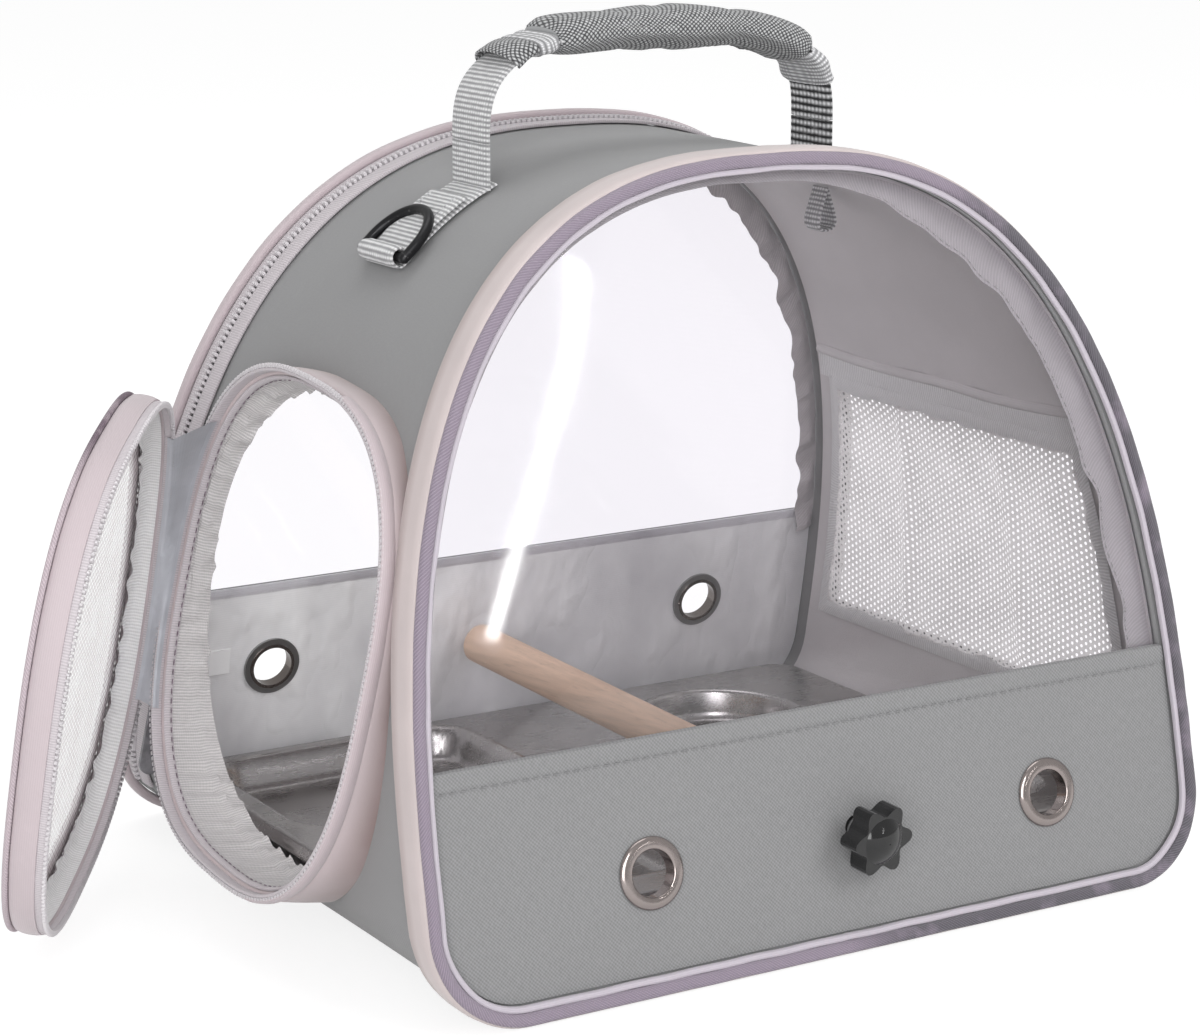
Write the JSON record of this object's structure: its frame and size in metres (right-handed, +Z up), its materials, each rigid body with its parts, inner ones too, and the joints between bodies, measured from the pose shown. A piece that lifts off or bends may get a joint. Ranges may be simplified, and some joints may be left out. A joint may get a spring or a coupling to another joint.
{
  "type": "bird travel carrier",
  "caption": "Arched soft-sided travel carrier for a pet bird, with a clear front, a net side door, a lift-out steel tray, a wooden perch and a padded handle.",
  "frame": {"origin": "middle of the base, on the floor", "axes": "+Z up, -Y out of the clear front, -X out of the wall with the net door"},
  "size_m": [0.4178, 0.2647, 0.3035],
  "materials": {
    "grey_cover": "woven oxford cloth, foam backed",
    "satin": "smooth silver satin",
    "pink_piping": "smooth padded piping",
    "dark_binding": "fine woven binding",
    "ribbon": "gathered ribbed ribbon",
    "clear_film": null,
    "net": "soft polyester net",
    "zip_tape": "woven zip tape",
    "zip_teeth": "moulded coil",
    "webbing": "ribbed webbing",
    "grip": "herringbone padded cloth",
    "black_metal": "black enamel",
    "gunmetal": "dark polished",
    "steel": "pressed, softly polished",
    "zinc": "dull grey casting",
    "wood": "sanded, bare",
    "black_plastic": "glossy moulding",
    "brass": "turned",
    "white_label": "blank satin label",
    "board": "stiff sheet"
  },
  "bodies": {
    "shell": {"base_cover": "grey_cover", "base_board": "board", "body_wrap": "grey_cover", "body_lining": "satin", "front_piping": "pink_piping", "front_binding": "dark_binding", "front_ribbon": "ribbon", "front_panel": "grey_cover", "front_window": "clear_film", "front_eyelets": "gunmetal", "front_eyelet_washers": "gunmetal", "side_mesh": "net", "side_mesh_border": "ribbon", "back_zip_tape": "zip_tape", "back_zip_teeth": "zip_teeth", "toy_loop": "webbing", "strap_left": "webbing", "strap_right": "webbing", "handle_neck_left": "webbing", "handle_neck_right": "webbing", "door_ring": "pink_piping", "ring_ribbon": "ribbon", "ring_zip_tape": "zip_tape", "ring_zip_teeth": "zip_teeth", "door_hinge_strip": "satin", "perch_washer": "steel"},
    "handle": {"handle_web": "webbing", "handle_grip": "grip", "grip_bands": "webbing"},
    "d_ring_left": {"d_ring_left": "black_metal"},
    "d_ring_right": {"d_ring_right": "black_metal"},
    "side_door": {"door_gusset": "pink_piping", "door_net": "net", "door_border": "pink_piping", "door_piping": "dark_binding", "door_ribbon": "ribbon", "door_zip_tape": "zip_tape", "door_zip_teeth": "zip_teeth"},
    "door_slider": {"door_zip_slider": "zinc"},
    "door_pull": {"door_zip_pull": "zinc"},
    "back_door": {"back_panel": "satin", "back_window": "clear_film", "back_ribbon": "ribbon", "back_gusset": "pink_piping", "back_binding": "dark_binding", "back_eyelets": "gunmetal", "back_eyelet_washers": "gunmetal", "back_door_tape": "zip_tape", "back_door_teeth": "zip_teeth", "care_label": "white_label"},
    "back_slider": {"back_zip_slider": "zinc"},
    "back_pull": {"back_zip_pull": "zinc"},
    "perch": {"perch": "wood", "perch_bolt": "steel"},
    "knob_washer": {"knob_washer": "steel"},
    "knob": {"star_knob": "black_plastic", "knob_insert": "brass"},
    "tray": {"tray": "steel"},
    "cup": {"food_cup": "steel"}
  },
  "joints": [
    {"name": "d_ring_left_swing", "type": "hinge", "parent": "shell", "child": "d_ring_left", "pos_m": [-0.1033, 0, 0.22645], "axis": [0, -1, 0], "range_deg": [0, 165]},
    {"name": "d_ring_right_swing", "type": "hinge", "parent": "shell", "child": "d_ring_right", "pos_m": [0.1033, 0, 0.22645], "axis": [0, 1, 0], "range_deg": [0, 165]},
    {"name": "handle_fold", "type": "hinge", "parent": "shell", "child": "handle", "pos_m": [0, 0, 0.255], "axis": [1, 0, 0], "range_deg": [-30, 30], "deforming": ["handle_neck_left", "handle_neck_right"]},
    {"name": "back_door_hinge", "type": "hinge", "parent": "shell", "child": "back_door", "pos_m": [0, 0.129, 0], "axis": [-1, 0, 0], "range_deg": [0, 100]},
    {"name": "side_door_hinge", "type": "hinge", "parent": "shell", "child": "side_door", "pos_m": [-0.15661, 0.06652, 0.11158], "axis": [-0.2035, 0.0816, 0.9757], "range_deg": [-40, 36.9], "deforming": ["door_hinge_strip"]},
    {"name": "door_zip_slide", "type": "slide", "parent": "shell", "child": "door_slider", "axis": [-0.1938, -0.2672, -0.9439], "range_m": [0, 0.02]},
    {"name": "door_pull_swing", "type": "hinge", "parent": "door_slider", "child": "door_pull", "pos_m": [-0.15845, 0.06731, 0.06381], "axis": [-0.9796, 0, 0.2011], "range_deg": [-14, 15]},
    {"name": "back_zip_slide", "type": "slide", "parent": "shell", "child": "back_slider", "axis": [0, -0.2054, 0.9787], "range_m": [0, 0.03]},
    {"name": "back_pull_swing", "type": "hinge", "parent": "back_slider", "child": "back_pull", "pos_m": [0.15775, 0.1037, 0.03955], "axis": [0, -1, 0], "range_deg": [0, 100]},
    {"name": "knob_travel", "type": "slide", "parent": "shell", "child": "knob_washer", "axis": [0.087, -0.9942, -0.0628], "range_m": [0, 0.0024]},
    {"name": "knob_turn", "type": "hinge", "parent": "knob_washer", "child": "knob", "pos_m": [0.0097, -0.12656, 0.0395], "axis": [0.087, -0.9942, -0.0628], "range_deg": [0, 1080]},
    {"name": "perch_spin", "type": "hinge", "parent": "shell", "child": "perch", "pos_m": [0.0003, -0.01918, 0.04628], "axis": [-0.087, 0.9942, 0.0628], "range_deg": [-180, 180]},
    {"name": "tray_slide", "type": "slide", "parent": "shell", "child": "tray", "axis": [0, 1, 0], "range_m": [-0.008, 0]},
    {"name": "cup_lift", "type": "slide", "parent": "tray", "child": "cup", "axis": [0, 0, 1], "range_m": [0, 0.03]}
  ],
  "couplings": [
    {"joint": "knob_travel", "follows": "knob_turn", "m_per_rad": 0.00012732}
  ]
}
